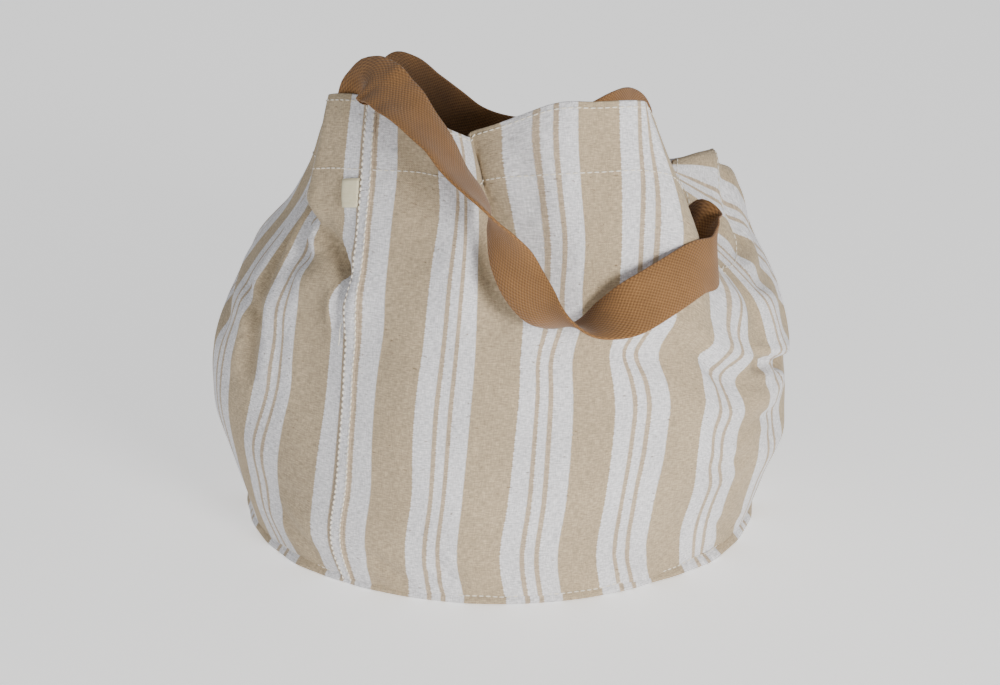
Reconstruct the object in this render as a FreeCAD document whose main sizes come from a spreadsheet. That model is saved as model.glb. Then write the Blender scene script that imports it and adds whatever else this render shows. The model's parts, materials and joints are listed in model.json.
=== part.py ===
import FreeCAD, Part
import math
import os
import Sketcher
from FreeCAD import Placement, Rotation, Vector

# Soft round laundry bag: a striped cloth tube on a round base, two webbing handles and a side label.
# Frame: origin at the centre of the base's underside, +Z up, the front panel faces -Y.

doc = FreeCAD.newDocument("laundry_bag")
sheet = doc.addObject("Spreadsheet::Sheet", "Sizes")

SIZES = [
    # alias, value in mm (or degrees, or a plain ratio)
    ("base_radius", 203.0),
    ("bag_height", 362.0),
    ("cloth_thickness", 1.2),
    ("layer_gap", 0.25),
    ("hem_depth", 65.0),
    ("welt_height", 7.0),
    ("welt_thickness", 4.6),
    ("seam_width", 10.0),
    ("seam_azimuth", -33.0),
    ("thread_height", 0.5),
    ("thread_width", 1.0),
    ("webbing_width", 38.0),
    ("webbing_thickness", 2.2),
    ("tail_length", 42.0),
    ("label_width", 11.0),
    ("label_height", 20.0),
    ("label_thickness", 0.6),
    ("mouth_tilt", 26.6),
    ("hem_tilt", 16.5),
    ("fold_width", 54.0),
    ("fold_azimuth", 52.0),
    ("fold_bottom", 249.0),
]

# Ellipses that the cloth passes through: half sizes and centre as shares of the base radius,
# height as a share of the bag's height, and the tilt that lowers the back.
SECTIONS = [
    # name, half x, half y, centre x, centre y, height, tilt in degrees
    ("floor", 1.000, 1.000, 0.000, 0.000, -0.015, 0.0),
    ("low", 1.095, 0.970, 0.000, -0.030, 0.160, 0.0),
    ("belly", 1.125, 0.905, 0.000, -0.100, 0.345, -3.0),
    ("shoulder", 0.950, 0.760, 0.030, -0.110, 0.620, -13.0),
    ("rim", 0.645, 0.557, -0.025, -0.300, 0.866, -26.6),
    ("above", 0.560, 0.470, -0.050, -0.400, 0.985, -30.0),
]


def fill_sheet():
    rows = list(SIZES)
    for name, half_x, half_y, mid_x, mid_y, height, tilt in SECTIONS:
        rows.append((name + "_half_x", half_x))
        rows.append((name + "_half_y", half_y))
        rows.append((name + "_mid_x", mid_x))
        rows.append((name + "_mid_y", mid_y))
        rows.append((name + "_level", height))
        rows.append((name + "_tilt", tilt))
    for row, (alias, value) in enumerate(rows, start=1):
        sheet.set("A%d" % row, alias)
        sheet.set("B%d" % row, str(value))
        sheet.setAlias("B%d" % row, alias)
    doc.recompute()


def size(alias):
    return float(sheet.get(alias))


fill_sheet()


def placed(obj, position, rotation=None):
    obj.Placement = Placement(position, rotation or Rotation())
    return obj


# ---------------------------------------------------------------- the cloth's nested surfaces

def section_ellipse(name, tag, offset):
    """One ellipse of the bag's shape, pushed outwards by offset (an expression in mm)."""
    ellipse = doc.addObject("Part::Ellipse", "%s_%s" % (tag, name))
    ellipse.setExpression("MajorRadius", "Sizes.base_radius * Sizes.%s_half_x + (%s)" % (name, offset))
    ellipse.setExpression("MinorRadius", "Sizes.base_radius * Sizes.%s_half_y + (%s)" % (name, offset))
    middle = Vector(size("base_radius") * size(name + "_mid_x"),
                    size("base_radius") * size(name + "_mid_y"),
                    size("bag_height") * size(name + "_level"))
    return placed(ellipse, middle, Rotation(Vector(1, 0, 0), size(name + "_tilt")))


def cloth_loft(tag, offset):
    """A filled bag shape whose surface lies offset outside the outer face of the cloth."""
    loft = doc.addObject("Part::Loft", tag)
    loft.Sections = [section_ellipse(row[0], tag, offset) for row in SECTIONS]
    loft.Solid = True
    loft.Ruled = False
    return loft


def cut(tag, base, tool):
    result = doc.addObject("Part::Cut", tag)
    result.Base = base
    result.Tool = tool
    return result


def common(tag, shapes):
    result = doc.addObject("Part::MultiCommon", tag)
    result.Shapes = shapes
    return result


def fuse(tag, shapes):
    result = doc.addObject("Part::MultiFuse", tag)
    result.Shapes = shapes
    return result


OUTER = "0"
INNER = "-Sizes.cloth_thickness"
HEM_OUTER = "-Sizes.cloth_thickness - Sizes.layer_gap"
HEM_INNER = "-2 * Sizes.cloth_thickness - Sizes.layer_gap"
STRIP_INNER = "0.1"
STRIP_OUTER = "Sizes.cloth_thickness"
THREAD_OUTER = "0.1 + Sizes.thread_height"
SEAM_THREAD_INNER = "Sizes.cloth_thickness + 0.1"
SEAM_THREAD_OUTER = "Sizes.cloth_thickness + Sizes.thread_height"

outer = cloth_loft("outer_face", OUTER)
inner = cloth_loft("inner_face", INNER)
hem_outer = cloth_loft("hem_outer_face", HEM_OUTER)
hem_inner = cloth_loft("hem_inner_face", HEM_INNER)
strip_inner = cloth_loft("strip_inner_face", STRIP_INNER)
strip_outer = cloth_loft("strip_outer_face", STRIP_OUTER)
thread_outer = cloth_loft("thread_outer_face", THREAD_OUTER)
seam_thread_inner = cloth_loft("seam_thread_inner_face", SEAM_THREAD_INNER)
seam_thread_outer = cloth_loft("seam_thread_outer_face", SEAM_THREAD_OUTER)

cloth_wall = cut("cloth_wall", outer, inner)
hem_wall = cut("hem_wall", hem_outer, hem_inner)
strip_wall = cut("strip_wall", strip_outer, strip_inner)
thread_wall = cut("thread_wall", thread_outer, strip_inner)
seam_thread_wall = cut("seam_thread_wall", seam_thread_outer, seam_thread_inner)


# ---------------------------------------------------------------- regions that trim them

REACH = 1400.0                      # long enough to pass the whole bag


def block(tag, length, width, height, position, rotation=None):
    """A box used for trimming; length, width and height are expressions or numbers."""
    box = doc.addObject("Part::Box", tag)
    box.setExpression("Length", str(length))
    box.setExpression("Width", str(width))
    box.setExpression("Height", str(height))
    return placed(box, position, rotation)


def tilted_slab(tag, point, tilt, lift, height):
    """A wide slab through point, its underside lift above it, tilted down towards the back."""
    turn = Rotation(Vector(1, 0, 0), -tilt)
    corner = point + turn.multVec(Vector(-REACH / 2, -REACH / 2, lift))
    return block(tag, REACH, REACH, height, corner, turn)


def mouth_middle():
    return Vector(0, size("base_radius") * size("rim_mid_y"), size("bag_height") * size("rim_level"))


def hem_front():
    """The front of the hem's lower edge, a hem's depth under the front of the mouth."""
    tilt = math.radians(size("mouth_tilt"))
    reach = size("base_radius") * size("rim_half_y")
    return mouth_middle() + Vector(0, -math.cos(tilt) * reach, math.sin(tilt) * reach - size("hem_depth"))


def mouth_slab(tag, lift, height):
    return tilted_slab(tag, mouth_middle(), size("mouth_tilt"), lift, height)


def hem_slab(tag, lift, height):
    return tilted_slab(tag, hem_front(), size("hem_tilt"), lift, height)


def sheet_value(expression):
    """The number that a sheet alias or a plain number stands for."""
    if isinstance(expression, str):
        return size(expression.replace("Sizes.", ""))
    return float(expression)


def seam_slab(tag, middle, width):
    """A standing slab along the seam's azimuth, from front left to rear right."""
    turn = Rotation(Vector(0, 0, 1), size("seam_azimuth"))
    thickness = sheet_value(width)
    corner = turn.multVec(Vector(middle - thickness / 2, -REACH / 2, 0)) - Vector(0, 0, 50)
    return block(tag, width, REACH, REACH, corner, turn)


def fold_block(tag, extra, bottom, height):
    """A standing block at the right front, where the cloth is tucked in beside the handle."""
    turn = Rotation(Vector(0, 0, 1), size("fold_azimuth"))
    width = size("fold_width") + 2 * extra
    corner = turn.multVec(Vector(-width / 2, -size("base_radius") * 1.2, 0)) + Vector(0, 0, bottom)
    scale = "%g + Sizes.fold_width" % (2 * extra)
    return block(tag, scale, "Sizes.base_radius * 1.0", height, corner, turn)


wall_foot = size("welt_height") + 0.2
below_mouth = mouth_slab("below_mouth", -REACH, REACH)
above_floor = block("above_floor", REACH, REACH, REACH, Vector(-REACH / 2, -REACH / 2, wall_foot))
fold_gap = fold_block("fold_gap", 0.0, size("fold_bottom"), 200)

front_turn = Rotation(Vector(0, 0, 1), size("seam_azimuth"))
front_half = block("front_half", REACH, REACH, REACH,
                   front_turn.multVec(Vector(0.1, -REACH / 2, 0)) - Vector(0, 0, 50), front_turn)
back_half = block("back_half", REACH, REACH, REACH,
                  front_turn.multVec(Vector(-0.1 - REACH, -REACH / 2, 0)) - Vector(0, 0, 50), front_turn)

mouth_cut_wall = cut("wall_with_fold", cloth_wall, fold_gap)


def finish_node(obj, label):
    obj.Label = label
    nodes.append(obj)
    return obj


nodes = []


def make_panels():
    """Front and back cloth panels, each from the base welt to the mouth."""
    front = common("front_panel", [mouth_cut_wall, above_floor, below_mouth, front_half])
    back = common("back_panel", [mouth_cut_wall, above_floor, below_mouth, back_half])
    finish_node(front, "front_panel")
    finish_node(back, "back_panel")


def make_hems():
    """The turned-in hem, a second layer inside each panel that also borders the tucked fold."""
    band = hem_slab("hem_band", 0.0, REACH)
    border = fold_block("fold_border", 16.0, size("fold_bottom") - 16.0, 80)
    zone = fuse("hem_zone", [band, border])
    trimmed = cut("hem_with_fold", hem_wall, fold_gap)
    front = common("front_hem", [trimmed, zone, below_mouth, front_half])
    back = common("back_hem", [trimmed, zone, below_mouth, back_half])
    finish_node(front, "front_hem")
    finish_node(back, "back_hem")


def make_side_seams():
    """Two felled side seams, each a raised strip on the outside of the cloth."""
    strip = seam_slab("seam_strip_slab", 0.0, "Sizes.seam_width")
    side = block("front_side", REACH, REACH, REACH, Vector(-REACH / 2, -REACH, -50))
    other = block("back_side", REACH, REACH, REACH, Vector(-REACH / 2, 0, -50))
    left = common("left_side_seam", [strip_wall, strip, above_floor, below_mouth, side])
    right = common("right_side_seam", [strip_wall, strip, above_floor, below_mouth, other])
    finish_node(left, "left_side_seam")
    finish_node(right, "right_side_seam")


def make_thread_rows():
    """Rim, hem and side-seam stitching: thin raised lines of thread on the outside."""
    strip = seam_slab("seam_keep_out", 0.0, 12.0)
    for label, slab in (("rim_stitching", mouth_slab("rim_row", -5.0, "Sizes.thread_width")),
                        ("hem_stitching", hem_slab("hem_row", 3.0, "Sizes.thread_width"))):
        ring = common(label + "_ring", [thread_wall, slab])
        finish_node(cut(label, cut(label + "_beside_fold", ring, fold_gap), strip), label)
    inset = size("seam_width") / 2 - 1.5
    rows = fuse("seam_rows", [seam_slab("seam_row_a", -inset, "Sizes.thread_width"),
                              seam_slab("seam_row_b", inset, "Sizes.thread_width")])
    seam_rows = common("side_seam_stitching", [seam_thread_wall, rows, above_floor, below_mouth])
    finish_node(seam_rows, "side_seam_stitching")


# ---------------------------------------------------------------- the base

def origin_plane(body, role):
    for feature in body.Origin.OriginFeatures:
        if feature.Role == role:
            return feature
    raise ValueError("no plane " + role)


def body_with_sketch(label, role):
    body = doc.addObject("PartDesign::Body", label)
    body.Label = label
    sketch = body.newObject("Sketcher::SketchObject", label + "_sketch")
    sketch.AttachmentSupport = [(origin_plane(body, role), "")]
    sketch.MapMode = "FlatFace"
    return body, sketch


def circle_in(sketch, expression):
    index = sketch.addGeometry(Part.Circle(Vector(0, 0, 0), Vector(0, 0, 1), 50.0), False)
    sketch.addConstraint(Sketcher.Constraint("Coincident", index, 3, -1, 1))
    radius = sketch.addConstraint(Sketcher.Constraint("Radius", index, 50.0))
    sketch.setExpression("Constraints[%d]" % radius, expression)
    return index


def rectangle_in(sketch, left, bottom, width, height):
    """A rectangle whose corner is at (left, bottom); all four are expressions or numbers."""
    corners = [Vector(5, 5, 0), Vector(15, 5, 0), Vector(15, 25, 0), Vector(5, 25, 0)]
    first = sketch.GeometryCount
    for start, end in zip(corners, corners[1:] + corners[:1]):
        sketch.addGeometry(Part.LineSegment(start, end), False)
    for side in range(4):
        joined = Sketcher.Constraint("Coincident", first + side, 2, first + (side + 1) % 4, 1)
        sketch.addConstraint(joined)
    for side, kind in ((0, "Horizontal"), (1, "Vertical"), (2, "Horizontal"), (3, "Vertical")):
        sketch.addConstraint(Sketcher.Constraint(kind, first + side))
    wide = sketch.addConstraint(Sketcher.Constraint("DistanceX", first, 1, first, 2, 10.0))
    high = sketch.addConstraint(Sketcher.Constraint("DistanceY", first + 1, 1, first + 1, 2, 20.0))
    from_left = sketch.addConstraint(Sketcher.Constraint("DistanceX", -1, 1, first, 1, 5.0))
    from_base = sketch.addConstraint(Sketcher.Constraint("DistanceY", -1, 1, first, 1, 5.0))
    for index, expression in ((wide, width), (high, height), (from_left, left), (from_base, bottom)):
        sketch.setExpression("Constraints[%d]" % index, str(expression))
    return first


def make_base_panel():
    """Round cloth base, one flat layer inside the welt."""
    body, sketch = body_with_sketch("base_panel", "XY_Plane")
    circle_in(sketch, "Sizes.base_radius - Sizes.welt_thickness - 0.2")
    pad = body.newObject("PartDesign::Pad", "base_pad")
    pad.Profile = sketch
    pad.setExpression("Length", "Sizes.cloth_thickness")
    finish_node(body, "base_panel")


def make_base_welt():
    """The folded seam where base and wall meet, standing as a welt around the floor line."""
    body, sketch = body_with_sketch("base_welt", "XZ_Plane")
    rectangle_in(sketch, "Sizes.base_radius - Sizes.welt_thickness + 2.4", 0.01,
                 "Sizes.welt_thickness", "Sizes.welt_height - 0.01")
    turned = body.newObject("PartDesign::Revolution", "welt_turned")
    turned.Profile = sketch
    turned.ReferenceAxis = (sketch, ["V_Axis"])
    turned.Angle = 360.0
    finish_node(body, "base_welt")


def make_base_stitching():
    """The row of thread around the welt."""
    body, sketch = body_with_sketch("base_stitching", "XZ_Plane")
    rectangle_in(sketch, "Sizes.base_radius + 2.5", "Sizes.welt_height - 2.2",
                 "Sizes.thread_height", "Sizes.thread_width")
    turned = body.newObject("PartDesign::Revolution", "base_thread_turned")
    turned.Profile = sketch
    turned.ReferenceAxis = (sketch, ["V_Axis"])
    turned.Angle = 360.0
    finish_node(body, "base_stitching")


make_panels()
make_hems()
make_side_seams()
make_thread_rows()
make_base_panel()
make_base_welt()
make_base_stitching()
doc.recompute()


# ---------------------------------------------------------------- places on the finished cloth

def cloth_hit(solid, origin, direction):
    """Where a ray from inside the bag leaves the given cloth surface."""
    ray = Part.makeLine(origin, origin + direction.normalize() * REACH)
    inside = ray.common(solid.Shape)
    ends = [vertex.Point for vertex in inside.Vertexes]
    return max(ends, key=lambda point: (point - origin).Length)


def heading(degrees):
    """A level direction at an azimuth counted from the front, positive to the right."""
    angle = math.radians(degrees)
    return Vector(math.sin(angle), -math.cos(angle), 0)


def cloth_place(solid, degrees, height):
    """Point, outward normal, level tangent and upward tangent of the cloth at a mouth azimuth."""
    middle = Vector(size("base_radius") * size("rim_mid_x"), size("base_radius") * size("rim_mid_y"), height)
    point = cloth_hit(solid, middle, heading(degrees))
    beside = cloth_hit(solid, middle, heading(degrees + 2.0))
    above = cloth_hit(solid, middle + Vector(0, 0, 2.0), heading(degrees))
    level = (beside - point).normalize()
    up = (above - point).normalize()
    normal = up.cross(level).normalize()
    if normal.dot(heading(degrees)) < 0:
        normal = normal * -1.0
    return point, normal, level, normal.cross(level).normalize() * up_sign(normal, level)


def up_sign(normal, level):
    return 1.0 if normal.cross(level).z > 0 else -1.0


# ---------------------------------------------------------------- handles

FRONT_AZIMUTHS = (-48.0, 72.0)
BACK_AZIMUTHS = (-133.0, 130.0)


def rim_height(degrees):
    """Height at which the cloth meets the mouth's plane, at a mouth azimuth."""
    slope = math.tan(math.radians(size("mouth_tilt")))
    middle = mouth_middle()
    height = middle.z
    for _ in range(12):
        edge = cloth_place(inner, degrees, height)[0]
        height = middle.z - slope * (edge.y - middle.y)
    return height


def handle_ends(azimuths, heights):
    """The two hinge points of a handle, just above the cloth's edge."""
    return [cloth_place(inner, degrees, height)[0] for degrees, height in zip(azimuths, heights)]


def station(share_x, share_y, share_z):
    """A point on a handle's path, given as shares of the base radius and the bag's height."""
    return Vector(size("base_radius") * share_x, size("base_radius") * share_y, size("bag_height") * share_z)


def ribbon(points, widths):
    """A webbing strap as a loft of thin rectangles; widths are the directions of its width."""
    half_width = size("webbing_width") / 2
    half_thick = size("webbing_thickness") / 2
    wires = []
    for index, point in enumerate(points):
        before = points[max(index - 1, 0)]
        after = points[min(index + 1, len(points) - 1)]
        along = (after - before).normalize()
        across = Vector(*widths[index])
        across = (across - along * across.dot(along)).normalize()
        face = along.cross(across).normalize()
        corners = [point + across * half_width * a + face * half_thick * b
                   for a, b in ((-1, -1), (1, -1), (1, 1), (-1, 1))]
        wires.append(Part.makePolygon(corners + corners[:1]))
    return Part.makeLoft(wires, True, True)


def solid_node(label, shape):
    feature = doc.addObject("Part::Feature", label)
    feature.Shape = shape
    feature.Placement = Placement()
    return finish_node(feature, label)


def make_handle(label, ends, path, widths):
    axis = (ends[1] - ends[0]).normalize()
    points = [ends[0]] + [station(*share) for share in path] + [ends[1]]
    sides = [tuple(axis)] + widths + [tuple(axis * -1.0)]
    solid_node(label, ribbon(points, sides))


def make_tail(label, degrees, top_height):
    """The sewn end of a handle, flat against the inside of the hem."""
    point, normal, level, up = cloth_place(hem_inner, degrees, top_height)
    tail = doc.addObject("Part::Box", label)
    tail.setExpression("Length", "Sizes.webbing_width")
    tail.setExpression("Width", "Sizes.webbing_thickness")
    tail.setExpression("Height", "Sizes.tail_length")
    turn = Rotation(level, Vector(), up, "XZY")
    inward = turn.multVec(Vector(0, 1, 0))
    start = point - level * (size("webbing_width") / 2) - up * size("tail_length")
    tail.Placement = Placement(start + inward * 2.6, turn)
    finish_node(tail, label)
    return tail.Placement


def make_tail_stitches(places):
    """A row of thread at the top and bottom of every sewn end, on its inner face."""
    threads = []
    for index, place in enumerate(places):
        for row, height in enumerate((4.0, size("tail_length") - 6.0)):
            bar = doc.addObject("Part::Box", "tack_%d_%d" % (index, row))
            bar.setExpression("Length", "Sizes.webbing_width - 6")
            bar.setExpression("Width", "Sizes.thread_height")
            bar.setExpression("Height", "Sizes.thread_width")
            corner = place.multVec(Vector(3.0, size("webbing_thickness") + 0.05, height))
            bar.Placement = Placement(corner, place.Rotation)
            threads.append(bar)
    stitched = doc.addObject("Part::Compound", "handle_stitching")
    stitched.Links = threads
    finish_node(stitched, "handle_stitching")


front_rims = (rim_height(FRONT_AZIMUTHS[0]), size("fold_bottom"))
back_rims = [rim_height(degrees) for degrees in BACK_AZIMUTHS]
front_ends = handle_ends(FRONT_AZIMUTHS, (front_rims[0] + 19.0, front_rims[1] + 12.0))
back_ends = handle_ends(BACK_AZIMUTHS, [height + 13.0 for height in back_rims])

# The middle of each strap as shares of the base radius and the bag's height, with the direction
# of the strap's width beside it.
FRONT_PATH = [(-0.365, -0.780, 1.020), (-0.266, -0.867, 0.959), (-0.148, -0.960, 0.884),
              (-0.040, -1.025, 0.812), (0.060, -1.070, 0.713), (0.177, -1.100, 0.633),
              (0.345, -1.090, 0.613), (0.512, -1.010, 0.646), (0.680, -0.847, 0.674),
              (0.768, -0.700, 0.696)]
FRONT_WIDTHS = [(0.95, -0.1, 0.15), (0.90, -0.1, 0.40), (0.80, -0.1, 0.55), (0.80, -0.1, 0.55),
                (0.75, 0.0, 0.60), (0.45, 0.0, 0.85), (0.05, 0.0, 1.00), (-0.20, 0.1, 0.95),
                (-0.35, 0.2, 0.90), (-0.55, 0.2, 0.80)]
BACK_PATH = [(-0.433, -0.020, 0.898), (-0.394, -0.138, 0.983), (-0.305, -0.270, 1.005),
             (-0.207, -0.414, 0.972), (-0.070, -0.512, 0.934), (0.123, -0.530, 0.925),
             (0.270, -0.453, 0.939), (0.340, -0.305, 0.934), (0.350, -0.128, 0.884)]
BACK_WIDTHS = [(0.97, -0.1, 0.0), (0.9, 0.1, -0.2), (0.55, 0.35, -0.6), (0.3, 0.45, -0.8),
               (0.1, 0.5, -0.85), (-0.1, 0.5, -0.85), (-0.3, 0.5, -0.75), (-0.65, 0.35, -0.5),
               (-0.95, 0.1, -0.1)]

make_handle("front_handle", front_ends, FRONT_PATH, FRONT_WIDTHS)
make_handle("back_handle", back_ends, BACK_PATH, BACK_WIDTHS)
tails = []
for side, degrees, top in (("front_handle_left_end", FRONT_AZIMUTHS[0], front_rims[0] - 2.0),
                           ("front_handle_right_end", FRONT_AZIMUTHS[1], front_rims[1] - 2.0),
                           ("back_handle_left_end", BACK_AZIMUTHS[0], back_rims[0] - 4.0),
                           ("back_handle_right_end", BACK_AZIMUTHS[1], back_rims[1] - 4.0)):
    tails.append(make_tail(side, degrees, top))
make_tail_stitches(tails)


# ---------------------------------------------------------------- label

def make_label():
    """A blank woven label held by one edge in the left side seam, just below the hem."""
    body, sketch = body_with_sketch("side_label", "XZ_Plane")
    rectangle_in(sketch, 0.6, 0.0, "Sizes.label_width", "Sizes.label_height")
    pad = body.newObject("PartDesign::Pad", "label_pad")
    pad.Profile = sketch
    pad.setExpression("Length", "Sizes.label_thickness")
    point, normal, level, up = cloth_place(outer, LABEL_AZIMUTH, size("bag_height") * 0.775)
    pivot = point + normal * (size("cloth_thickness") + 1.6)
    turn = Rotation(level * -1.0, Vector(), up, "XZY")
    body.Placement = Placement(pivot, turn)
    finish_node(body, "side_label")
    return pivot, up


LABEL_AZIMUTH = -52.0
label_pivot, label_axis = make_label()
doc.recompute()

for item in doc.Objects:
    if "Invalid" in item.State or "Error" in item.State:
        raise RuntimeError("%s does not build: %s" % (item.Name, item.State))
os.makedirs("parts", exist_ok=True)
for node in nodes:
    if node.Shape.isNull() or not node.Shape.isValid():
        raise RuntimeError(node.Label + " has no valid shape")
    node.Shape.exportStep("parts/%s.step" % node.Label)

for name, ends in (("front_handle_swing", front_ends), ("back_handle_swing", back_ends)):
    print(name, [round(v, 3) for v in ends[0]], [round(v, 3) for v in ends[1]])
print("label_flap", [round(v, 3) for v in label_pivot], [round(v, 4) for v in label_axis])
for node in nodes:
    box = node.Shape.BoundBox
    print("%-24s %d solid(s) %8.1f mm3  x %.0f..%.0f y %.0f..%.0f z %.1f..%.1f" % (
        node.Label, len(node.Shape.Solids), node.Shape.Volume, box.XMin, box.XMax, box.YMin, box.YMax,
        box.ZMin, box.ZMax))
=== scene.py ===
import json
import math

import bpy
import numpy as np
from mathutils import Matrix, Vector


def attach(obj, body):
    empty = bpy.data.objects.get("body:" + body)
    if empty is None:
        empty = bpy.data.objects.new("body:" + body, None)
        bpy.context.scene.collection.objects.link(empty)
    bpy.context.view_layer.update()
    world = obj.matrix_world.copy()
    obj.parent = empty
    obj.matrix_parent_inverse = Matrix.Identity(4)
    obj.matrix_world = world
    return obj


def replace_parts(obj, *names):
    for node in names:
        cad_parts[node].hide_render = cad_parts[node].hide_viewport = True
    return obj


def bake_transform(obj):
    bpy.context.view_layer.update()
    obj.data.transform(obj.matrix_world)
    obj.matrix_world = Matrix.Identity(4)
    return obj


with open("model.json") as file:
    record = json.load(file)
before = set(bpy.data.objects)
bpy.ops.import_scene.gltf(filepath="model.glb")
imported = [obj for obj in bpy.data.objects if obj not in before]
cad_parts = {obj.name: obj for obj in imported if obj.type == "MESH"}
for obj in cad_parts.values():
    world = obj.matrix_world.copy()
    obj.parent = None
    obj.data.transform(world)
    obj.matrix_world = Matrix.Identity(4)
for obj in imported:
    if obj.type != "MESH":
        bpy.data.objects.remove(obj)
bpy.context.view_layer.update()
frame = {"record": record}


# ------------------------------------------------------------------ camera, floor and light
# The bag stands on a plain pale floor, seen from the front and a little above, in soft daylight.

def aim(obj, target):
    away = Vector(obj.location) - Vector(target)
    obj.rotation_euler = away.to_track_quat("Z", "Y").to_euler()


def area_light(name, place, target, size, power, tint=(1.0, 1.0, 1.0)):
    data = bpy.data.lights.new(name, "AREA")
    data.shape = "DISK"
    data.size = size
    data.energy = power
    data.color = tint
    lamp = bpy.data.objects.new(name, data)
    bpy.context.collection.objects.link(lamp)
    lamp.location = place
    aim(lamp, target)
    return lamp


CAMERA_RISE = math.radians(20.0)
CAMERA_AWAY = 1.5
LOOK_AT = Vector((0.0, 0.0, 0.128))

camera_data = bpy.data.cameras.new("camera")
camera_data.lens = 66.9
camera_data.sensor_width = 36.0
camera = bpy.data.objects.new("camera", camera_data)
bpy.context.collection.objects.link(camera)
camera.location = LOOK_AT + CAMERA_AWAY * Vector((0.0, -math.cos(CAMERA_RISE), math.sin(CAMERA_RISE)))
aim(camera, LOOK_AT)
bpy.context.scene.camera = camera

area_light("key", (1.25, -2.0, 0.55), (0, 0, 0.1), 0.8, 62.0, (1.0, 0.99, 0.965))
area_light("fill", (-1.6, -1.6, 0.6), (0, 0, 0.1), 1.6, 11.0, (0.95, 0.97, 1.0))
area_light("backdrop", (0.0, 2.4, 2.2), (0, 1.9, 0.0), 2.6, 12.0)
world = bpy.data.worlds.new("studio")
world.use_nodes = True
world.node_tree.nodes["Background"].inputs["Color"].default_value = (0.95, 0.965, 1.0, 1.0)
world.node_tree.nodes["Background"].inputs["Strength"].default_value = 0.30
bpy.context.scene.world = world


def colour(code):
    """A colour written as sRGB hex, for a linear socket."""
    parts = [int(code[i:i + 2], 16) / 255.0 for i in (0, 2, 4)]
    return tuple(p / 12.92 if p <= 0.04045 else ((p + 0.055) / 1.055) ** 2.4 for p in parts) + (1.0,)


def add_node(tree, kind, settings=None, links=None):
    """Adds a node; settings are its properties or input values, links its inputs' sources."""
    node = tree.nodes.new(kind)
    for key, value in (settings or {}).items():
        if isinstance(key, str) and hasattr(node, key):
            setattr(node, key, value)
        else:
            node.inputs[key].default_value = value
    for key, source in (links or {}).items():
        tree.links.new(source, node.inputs[key])
    return node


def worked(tree, operation, *parts):
    """A Math node's result; each part is a number or another node's output."""
    node = add_node(tree, "ShaderNodeMath", {"operation": operation})
    for place, part in enumerate(parts):
        if isinstance(part, (int, float)):
            node.inputs[place].default_value = part
        else:
            tree.links.new(part, node.inputs[place])
    return node.outputs[0]


def noise(tree, source, scale, detail, roughness=0.5):
    """Noise over a flat source in millimetres; scale is in features to the millimetre."""
    node = add_node(tree, "ShaderNodeTexNoise", {"noise_dimensions": "2D", "Scale": scale, "Detail": detail,
                                                 "Roughness": roughness}, {"Vector": source})
    return node.outputs["Fac"]


def stretched(tree, source, across, up):
    """A flat source scaled differently across the cloth and up it."""
    return add_node(tree, "ShaderNodeMapping", {"Scale": (across, up, 1.0)}, {0: source}).outputs[0]


def spread(tree, value, low, high, least, most):
    """Carries a value from the range low to high over to the range least to most."""
    node = add_node(tree, "ShaderNodeMapRange", {"From Min": low, "From Max": high, "To Min": least,
                                                 "To Max": most}, {"Value": value})
    return node.outputs[0]


def mixed(tree, share, first, second, blend="MIX"):
    """A colour between two, by share; each part is a value, a colour or another node's output."""
    node = add_node(tree, "ShaderNodeMix", {"data_type": "RGBA", "blend_type": blend})
    for place, part in ((0, share), (6, first), (7, second)):
        if isinstance(part, (float, tuple)):
            node.inputs[place].default_value = part
        else:
            tree.links.new(part, node.inputs[place])
    return node.outputs[2]


def raised(tree, height, strength, distance, under=None):
    """A Bump node's normal, laid over another normal where one is given."""
    links = {"Height": height}
    if under is not None:
        links["Normal"] = under
    return add_node(tree, "ShaderNodeBump", {"Strength": strength, "Distance": distance}, links).outputs[0]


def new_material(name):
    """A material with its Principled node emptied of gloss; returns it, its tree and that node."""
    material = bpy.data.materials.new(name)
    material.use_nodes = True
    tree = material.node_tree
    surface = tree.nodes["Principled BSDF"]
    surface.inputs["Roughness"].default_value = 0.9
    surface.inputs["Specular IOR Level"].default_value = 0.2
    return material, tree, surface


floor_material, floor_tree, floor_surface = new_material("pale_floor")
floor_surface.inputs["Base Color"].default_value = colour("F4F3F1")
floor_surface.inputs["Emission Color"].default_value = colour("FFFFFF")
floor_surface.inputs["Emission Strength"].default_value = 0.75
bpy.ops.mesh.primitive_plane_add(size=14.0, location=(0, 0, 0))
floor = bpy.context.object
floor.name = "floor"
floor.data.materials.append(floor_material)


def mesh_object(name, points, faces, material):
    mesh = bpy.data.meshes.new(name)
    mesh.from_pydata([tuple(p) for p in points], [], faces)
    mesh.materials.append(material)
    obj = bpy.data.objects.new(name, mesh)
    bpy.context.collection.objects.link(obj)
    mesh.polygons.foreach_set("use_smooth", [True] * len(mesh.polygons))
    return obj


def bake(obj):
    """Replaces an object's mesh with what its modifiers make of it, and drops them."""
    graph = bpy.context.evaluated_depsgraph_get()
    made = bpy.data.meshes.new_from_object(obj.evaluated_get(graph))
    made.name = obj.data.name
    obj.modifiers.clear()
    obj.data = made
    return obj


# ------------------------------------------------------------------ the cloth's shape
# The bag is a tube of striped cloth, 18 stripe repeats round and 378 mm tall, sewn to a round base.
# It slumps: the front stands up, the back leans in, and at the right the cloth is tucked into the mouth.

MM = 0.001
REPEAT = 71.6                # one repeat of the stripe pattern round the bag
ROUND = 18                   # repeats round the bag
GIRTH = REPEAT * ROUND
TALL = 378.0                 # height of the cloth from base seam to rim
BASE_RADIUS = 205.0
HEM = 50.0                   # rim down to the hem's stitching
CLOTH_THICK = 1.0

# Heights along the cloth at which each line of the sculpt below has a point.
LEVELS = [0.0, 40.0, 90.0, 140.0, 190.0, 240.0, 280.0, 318.0, 352.0, 378.0]

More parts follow.
